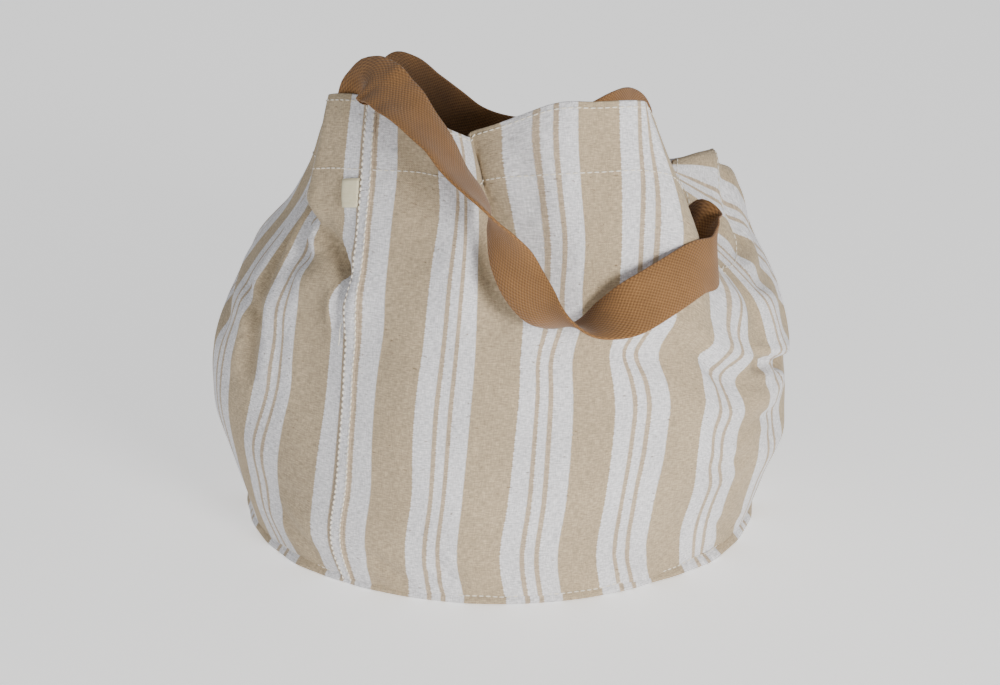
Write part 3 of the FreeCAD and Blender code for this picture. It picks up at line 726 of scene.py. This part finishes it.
def sewn(name, lines, sizes):
    """Stitches along lines of (point, outward) pairs in mm; sizes are pitch, length, width, height."""
    points, facing, edges = [], [], []
    for line in lines:
        first = len(points)
        points += [tuple(point * MM) for point, away in line]
        facing += [tuple(away) for point, away in line]
        edges += [(first + i, first + i + 1) for i in range(len(line) - 1)]
    mesh = bpy.data.meshes.new(name)
    mesh.from_pydata(points, edges, [])
    attribute = mesh.attributes.new("outward", "FLOAT_VECTOR", "POINT")
    attribute.data.foreach_set("vector", np.array(facing, float).ravel())
    obj = bpy.data.objects.new(name, mesh)
    bpy.context.collection.objects.link(obj)
    modifier = obj.modifiers.new("stitches", "NODES")
    modifier.node_group = stitching
    wanted = dict(zip(("Pitch", "Length", "Width", "Height"), [size * MM for size in sizes]), Thread=thread)
    for item in stitching.interface.items_tree:
        if item.item_type == "SOCKET" and item.in_out == "INPUT" and item.name in wanted:
            modifier[item.identifier] = wanted[item.name]
    bake(obj)
    obj.data.materials.clear()
    obj.data.materials.append(thread)
    obj.data.polygons.foreach_set("use_smooth", [True] * len(obj.data.polygons))
    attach(obj, "bag")
    return obj


def level_line(up, start, end):
    """A row of places round the bag at one height up the cloth, twenty to a repeat."""
    count = int((end - start) * 20)
    return [on_cloth(start + (end - start) * i / count, up, STITCH_LIFT) for i in range(count + 1)]


SEAM_HALF = 0.075            # half the side seam's strip, in repeats, left clear by the other rows
RIM_STITCH_DOWN = 3.6        # rim down to the rim's stitching


def level_rows(up):
    """The front's and the back's row at one height, each ending short of the side seams."""
    return [level_line(up, side + SEAM_HALF, side + ROUND / 2 - SEAM_HALF) for side in (0, ROUND / 2)]


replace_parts(sewn("rim_topstitch", level_rows(TALL - RIM_STITCH_DOWN), ROW_STITCH), "rim_stitching")
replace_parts(sewn("hem_topstitch", level_rows(TALL - HEM), ROW_STITCH), "hem_stitching")


def welt_line():
    """The row round the welt, near its top edge."""
    rows = np.array(welt)
    row = rows[2] * 0.75 + rows[3] * 0.25
    line = []
    for i in range(AROUND + 1):
        point = row[i % AROUND]
        away = np.array((point[0], point[1], 0.0)) / math.hypot(point[0], point[1])
        away = away * 0.96 + np.array((0.0, 0.0, 0.28))
        line.append((point + away * 0.15, away))
    return line


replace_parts(sewn("base_topstitch", [welt_line()], (STITCH_PITCH, 4.0, 1.0, 0.8)), "base_stitching")


# ------------------------------------------------------------------ felled side seams
# Front and back panels are joined by two felled seams. Each stands as a flat strip 10 mm wide on the
# outside of the cloth, with a row of stitches along both edges.

SEAM_WIDE = 10.0
SEAM_ROW_IN = 1.6            # strip's edge in to its row of stitches
SEAM_ROW_LIFT = 1.35


def seam_strip(name, repeats, node):
    """A raised strip of the same cloth up one side seam, from the welt to the rim."""
    half = SEAM_WIDE / 2 / REPEAT
    profile = [(-1.0, -0.3), (-0.97, 0.75), (-0.5, 1.15), (0.0, 0.95), (0.5, 1.15), (0.97, 0.75), (1.0, -0.3)]
    rows, ups = [], []
    for j in range(4, 4 * UP + 1, 3):
        up = TALL * j / (4 * UP)
        pucker = 0.22 * math.sin(2 * math.pi * up / SEAM_PITCH / 1.5)
        rows.append([on_cloth(repeats + half * side, up, lift + (pucker if lift > 0 else 0.0))[0]
                     for side, lift in profile])
        ups.append(up)
    across = [repeats * REPEAT + SEAM_WIDE / 2 * side for side, lift in profile]
    strip = strip_mesh(name, rows, across, ups, linen, closed=False)
    strip = thicken(strip, 0.6, -1.0)
    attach(strip, "bag")
    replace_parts(strip, node)
    return strip


left_strip = seam_strip("left_felled_seam", 0.0, "left_side_seam")
right_strip = seam_strip("right_felled_seam", 9.0, "right_side_seam")


def seam_lines(repeats):
    lines = []
    for side in (-1, 1):
        place = repeats + side * (SEAM_WIDE / 2 - SEAM_ROW_IN) / REPEAT
        lines.append([on_cloth(place, up, SEAM_ROW_LIFT) for up in np.linspace(6.0, TALL - 2.0, 91)])
    return lines


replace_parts(sewn("side_seam_topstitch", seam_lines(0.0) + seam_lines(9.0), (SEAM_PITCH, 3.1, 1.7, 1.1)),
            "side_seam_stitching")


# ------------------------------------------------------------------ webbing handles
# Two lengths of 38 mm cotton webbing, 2.2 mm thick, tan, with a close plain weave whose crossings
# stand up as rows of small beads. Both ends of each are sewn flat to the inside of the hem.

WEBBING_WIDE = 38.0
WEBBING_THICK = 2.2
INSIDE_HEM = 4.4             # the cloth's outer face in to the webbing's near face
WEBBING_TAN = "8F6840"
# colour of the painted shade in the weave's hollows, between the raised crossings
WEBBING_HOLLOW_SHADE = "68482A"
BEAD_LONG = 1.7              # mm from crossing to crossing along the strap
BEAD_WIDE = 1.3              # and across it


def cotton_webbing():
    """Heavy cotton webbing, woven: matt, with raised crossings set like bricks and painted shade in the
    hollows between them.
    """
    material, tree, surface = new_material("woven_cotton_webbing")
    place = add_node(tree, "ShaderNodeUVMap", {"uv_map": "cloth_mm"}).outputs[0]
    scaled = add_node(tree, "ShaderNodeVectorMath", {"operation": "MULTIPLY", 1: (
        math.pi / BEAD_LONG, math.pi / BEAD_WIDE, 0.0)}, {0: place})
    axes = add_node(tree, "ShaderNodeSeparateXYZ", links={0: scaled.outputs[0]})
    along = worked(tree, "SINE", axes.outputs[0])
    across = worked(tree, "SINE", axes.outputs[1])
    height = spread(tree, worked(tree, "MULTIPLY", along, across), -0.9, 0.9, 0.0, 1.0)
    wear = spread(tree, noise(tree, place, 0.05, 4.0), 0.3, 0.7, 0.93, 1.06)
    fuzz = spread(tree, noise(tree, place, 1.1, 2.0), 0.3, 0.7, 0.90, 1.08)
    # painted shade: the darker colour goes where the weave is low, between the raised crossings
    woven = mixed(tree, height, colour(WEBBING_HOLLOW_SHADE), colour(WEBBING_TAN))
    shaded = mixed(tree, 1.0, woven, worked(tree, "MULTIPLY", wear, fuzz), "MULTIPLY")
    tree.links.new(shaded, surface.inputs["Base Color"])
    tree.links.new(raised(tree, height, 0.5, 0.0007), surface.inputs["Normal"])
    surface.inputs["Roughness"].default_value = 0.88
    surface.inputs["Sheen Weight"].default_value = 0.15
    surface.inputs["Sheen Roughness"].default_value = 0.5
    return material


webbing = cotton_webbing()


def sewn_end(repeats, lowest, highest):
    """Path and widths of a strap's end against the inside of the hem, from its cut edge upwards."""
    stops = []
    for up in (lowest, (lowest + highest) / 2, highest):
        point, away = on_cloth(repeats, up, -INSIDE_HEM - WEBBING_THICK / 2)
        side, _ = on_cloth(repeats + 0.1, up)
        other, _ = on_cloth(repeats - 0.1, up)
        stops.append((tuple(point), tuple((side - other) / np.linalg.norm(side - other))))
    return stops


def flipped(stops):
    return [(point, tuple(-x for x in across)) for point, across in reversed(stops)]


def strap(name, stops):
    """A length of webbing through the stops, each a point in mm and the direction of its width."""
    points = [np.array(point, float) for point, across in stops]
    sides = [np.array(across, float) / np.linalg.norm(across) for point, across in stops]
    gaps = [np.linalg.norm(b - a) for a, b in zip(points, points[1:])]
    marks = [sum(gaps[:i]) for i in range(len(points))]
    steps = int(marks[-1] / 2.2)
    wanted = [marks[-1] * i / steps for i in range(steps + 1)]
    line = np.array(smooth_through(marks, points, wanted))
    turn = np.array(smooth_through(marks, sides, wanted))
    tangent = np.gradient(line, axis=0)
    tangent /= np.linalg.norm(tangent, axis=1, keepdims=True)
    turn -= tangent * (turn * tangent).sum(axis=1, keepdims=True)
    turn /= np.linalg.norm(turn, axis=1, keepdims=True)
    face = np.cross(tangent, turn)
    half, thin = WEBBING_WIDE / 2, WEBBING_THICK / 2
    face_side = [(-half + 0.9, -thin), (-half / 2, -thin), (0.0, -thin), (half / 2, -thin),
                 (half - 0.9, -thin), (half - 0.2, -thin * 0.6), (half, 0.0), (half - 0.2, thin * 0.6)]
    around = face_side + [(-a, -b) for a, b in face_side]
    ring = len(around)
    travelled = np.concatenate(([0.0], np.cumsum(np.linalg.norm(np.diff(line, axis=0), axis=1))))
    rows = np.array([[line[k] + turn[k] * a + face[k] * b for a, b in around] for k in range(len(line))])
    faces, corners = [], []
    girth = [0.0]
    for (a, b), (c, d) in zip(around, around[1:] + around[:1]):
        girth.append(girth[-1] + math.hypot(c - a, d - b))
    for k in range(len(line) - 1):
        for i in range(ring):
            n = (i + 1) % ring
            faces.append((k * ring + i, (k + 1) * ring + i, (k + 1) * ring + n, k * ring + n))
            corners += [(travelled[k], girth[i]), (travelled[k + 1], girth[i]),
                        (travelled[k + 1], girth[i + 1]), (travelled[k], girth[i + 1])]
    last = (len(line) - 1) * ring
    faces.append(tuple(range(ring)))
    faces.append(tuple(last + i for i in range(ring - 1, -1, -1)))
    corners += [(0.0, girth[i]) for i in range(ring)] + [(0.0, girth[i]) for i in range(ring - 1, -1, -1)]
    obj = mesh_object(name, rows.reshape(-1, 3) * MM, faces, webbing)
    layer = obj.data.uv_layers.new(name="cloth_mm")
    layer.data.foreach_set("uv", np.array(corners, float).ravel())
    return obj


def tacks(name, ends):
    """Two rows of stitches across each sewn end, on its inner face."""
    lines = []
    for repeats, lowest, highest in ends:
        reach = (WEBBING_WIDE / 2 - 3.0) / REPEAT
        for up in (lowest + 4.0, highest - 9.0):
            row = [on_cloth(repeats + reach * share, up, -INSIDE_HEM - WEBBING_THICK - 0.3)
                   for share in np.linspace(-1.0, 1.0, 13)]
            lines.append([(point, -away) for point, away in row])
    return sewn(name, lines, (STITCH_PITCH, 4.0, 1.0, 0.8))


FRONT_ENDS = [(17.80, 330.0, 374.0), (4.22, 330.0, 374.0)]
front_stops = sewn_end(*FRONT_ENDS[0]) + [
    ((-98, -117, 360), (0.60, -0.77, 0.20)),
    ((-95, -121, 367), (0.45, -0.88, 0.10)),
    ((-91, -126, 370), (0.25, -0.93, -0.25)),
    ((-83, -136, 369), (0.12, -0.84, -0.52)),
    ((-73, -148, 363), (-0.12, -0.86, -0.50)),
    ((-63, -160, 356), (-0.32, -0.87, -0.37)),
    ((-52, -170, 346), (-0.32, -0.91, -0.25)),
    ((-42, -180, 336), (-0.29, -0.94, -0.14)),
    ((-31, -193, 322), (-0.36, -0.92, 0.10)),
    ((-18, -204, 309), (-0.22, -0.96, 0.13)),
    ((-8, -211, 297), (-0.05, -0.95, 0.28)),
    ((-1, -214, 283), (0.34, -0.82, 0.42)),
    ((8, -217, 265), (0.72, -0.52, 0.44)),
    ((18, -221, 246), (0.80, -0.44, 0.42)),
    ((32, -225, 230), (0.72, -0.62, 0.34)),
    ((56, -225, 221), (0.42, -0.92, 0.08)),
    ((78, -220, 226), (0.28, -0.80, -0.55)),
    ((98, -210, 234), (0.34, -0.38, -0.86)),
    ((118, -194, 241), (0.36, -0.26, -0.90)),
    ((138, -172, 246), (0.28, -0.18, -0.94)),
    ((153, -147, 243), (0.12, -0.08, -0.98)),
    ((155, -128, 246), (0.05, -0.15, -0.98)),
    ((150, -114, 252), (0.02, -0.45, -0.89)),
    ((144, -104, 258), (-0.10, -0.70, -0.70)),
] + flipped(sewn_end(*FRONT_ENDS[1]))

BACK_ENDS = [(12.85, 330.0, 374.0), (9.55, 330.0, 374.0)]
back_stops = sewn_end(*BACK_ENDS[0]) + [
    ((-85, 14, 312), (-0.85, -0.10, 0.45)),
    ((-87, 5, 328), (-0.50, -0.10, 0.85)),
    ((-79, -12, 344), (-0.30, -0.25, 0.92)),
    ((-71, -27, 352), (-0.10, -0.32, 0.94)),
    ((-64, -39, 350), (0.28, -0.36, 0.88)),
    ((-49, -60, 342), (0.42, -0.40, 0.81)),
    ((-34, -78, 335), (0.43, -0.40, 0.81)),
    ((-18, -92, 327), (0.38, -0.40, 0.83)),
    ((7, -100, 321), (0.20, -0.35, 0.91)),
    ((39, -98, 321), (0.0, -0.30, 0.95)),
    ((65, -86, 325), (-0.25, -0.28, 0.93)),
    ((84, -66, 329), (-0.25, -0.25, 0.94)),
    ((97, -40, 326), (-0.10, -0.15, 0.98)),
    ((103, -14, 314), (0.45, 0.0, 0.88)),
    ((102, 6, 299), (0.88, 0.1, 0.45)),
] + flipped(sewn_end(*BACK_ENDS[1]))

front_strap = strap("front_webbing_handle", front_stops)
back_strap = strap("back_webbing_handle", back_stops)


def hinge_line(name):
    """A handle's hinge from the frame: a point on it and its direction, in metres."""
    for joint in frame["record"]["behaviour"]["joints"]:
        if joint["name"] == name:
            return Vector(joint["pos_m"]), Vector(joint["axis"]).normalized()
    raise ValueError("no joint " + name)


def bend_at_rim(piece, joint, towards):
    """Looks up the handle's hinge line in the frame and bakes the piece's place into its mesh; the webbing is
    not bent.
    """
    ride_point, axis = hinge_line(joint)
    away = Vector(towards)
    away = (away - axis * away.dot(axis)).normalized()
    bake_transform(piece)


bend_at_rim(front_strap, "front_handle_swing", (0, -1, 0))
bend_at_rim(back_strap, "back_handle_swing", (0, -0.85, 0.5))
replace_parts(front_strap, "front_handle", "front_handle_left_end", "front_handle_right_end")
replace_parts(back_strap, "back_handle", "back_handle_left_end", "back_handle_right_end")
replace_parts(tacks("handle_end_stitches", FRONT_ENDS + BACK_ENDS), "handle_stitching")


# ------------------------------------------------------------------ side label
# A blank label of cream woven tape, folded and caught by its right edge in the left side seam just
# below the hem. It has no lettering.

LABEL_CREAM = "D8D0B4"
LABEL_SOILED = "C9BF9E"
RIB_PITCH = 1.1
LABEL_WIDE = 14.0
LABEL_HIGH = 21.0


def label_tape():
    """Woven satin tape: smooth and slightly shiny, with fine level ribs."""
    material, tree, surface = new_material("woven_label_tape")
    place = add_node(tree, "ShaderNodeUVMap", {"uv_map": "cloth_mm"}).outputs[0]
    up = add_node(tree, "ShaderNodeSeparateXYZ", links={0: place}).outputs[1]
    ribs = worked(tree, "SINE", worked(tree, "MULTIPLY", up, 2 * math.pi / RIB_PITCH))
    soil = noise(tree, place, 0.25, 3.0)
    tree.links.new(mixed(tree, soil, colour(LABEL_SOILED), colour(LABEL_CREAM)), surface.inputs["Base Color"])
    tree.links.new(raised(tree, ribs, 0.3, 0.0002), surface.inputs["Normal"])
    surface.inputs["Roughness"].default_value = 0.6
    return material


tape = label_tape()
LABEL_SEAM = -SEAM_WIDE / 2 / REPEAT
LABEL_FOOT = 301.0
# from the seam out to the fold and back under: share of the width, and lift off the cloth in mm
LABEL_FOLD = [(0.0, 1.0), (0.12, 1.7), (0.35, 2.3), (0.6, 2.6), (0.85, 2.7), (0.97, 2.6), (1.0, 2.3),
              (0.97, 2.0), (0.85, 1.9), (0.5, 1.7), (0.12, 1.1)]


def label_rows():
    """The label from the seam outwards to its fold, a little away from the cloth, then back under."""
    rows = []
    for share_up in np.linspace(0.0, 1.0, 9):
        row = []
        for share, lift in LABEL_FOLD:
            place = LABEL_SEAM - share * LABEL_WIDE / REPEAT * (1.0 + 0.08 * (1 - share_up))
            curl = 0.5 * math.sin(share_up * 2.6) * share
            up = LABEL_FOOT + share_up * LABEL_HIGH - 1.5 * share
            row.append(on_cloth(place, up, lift + curl)[0])
        rows.append(row)
    return rows


label_across = [0, 2, 5, 9, 12, 13.6, 14, 14.4, 16, 21, 26]
label = strip_mesh("blank_side_label", label_rows(), label_across,
                   np.linspace(0.0, LABEL_HIGH, 9), tape, closed=False)
label = thicken(label, 0.3, 0.0)
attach(label, "label")
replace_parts(label, "side_label")


# ------------------------------------------------------------------ a loose end of thread
# One thread end, about 12 mm long, left hanging beside the left side seam where a row was finished.

END_PLACES = [(-0.10, 214.0, 1.0), (-0.11, 210.0, 2.4), (-0.13, 205.0, 1.8), (-0.12, 200.0, 2.2),
              (-0.14, 196.0, 1.4)]
end_points = [on_cloth(repeats, up, lift)[0] for repeats, up, lift in END_PLACES]
end_curve = bpy.data.curves.new("loose_thread_end", "CURVE")
end_curve.dimensions = "3D"
end_curve.bevel_depth = 0.35 * MM
end_curve.bevel_resolution = 1
end_curve.use_fill_caps = True
end_spline = end_curve.splines.new("NURBS")
end_spline.points.add(len(end_points) - 1)
for spot, point in zip(end_spline.points, end_points):
    spot.co = (*(point * MM), 1.0)
end_spline.order_u = 3
end_spline.use_endpoint_u = True
end_object = bpy.data.objects.new("loose_thread_curve", end_curve)
bpy.context.collection.objects.link(end_object)
end_mesh = bpy.data.meshes.new_from_object(end_object.evaluated_get(bpy.context.evaluated_depsgraph_get()))
bpy.data.objects.remove(end_object)
loose_end = bpy.data.objects.new("loose_thread_end", end_mesh)
bpy.context.collection.objects.link(loose_end)
end_mesh.materials.clear()
end_mesh.materials.append(thread)
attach(loose_end, "bag")
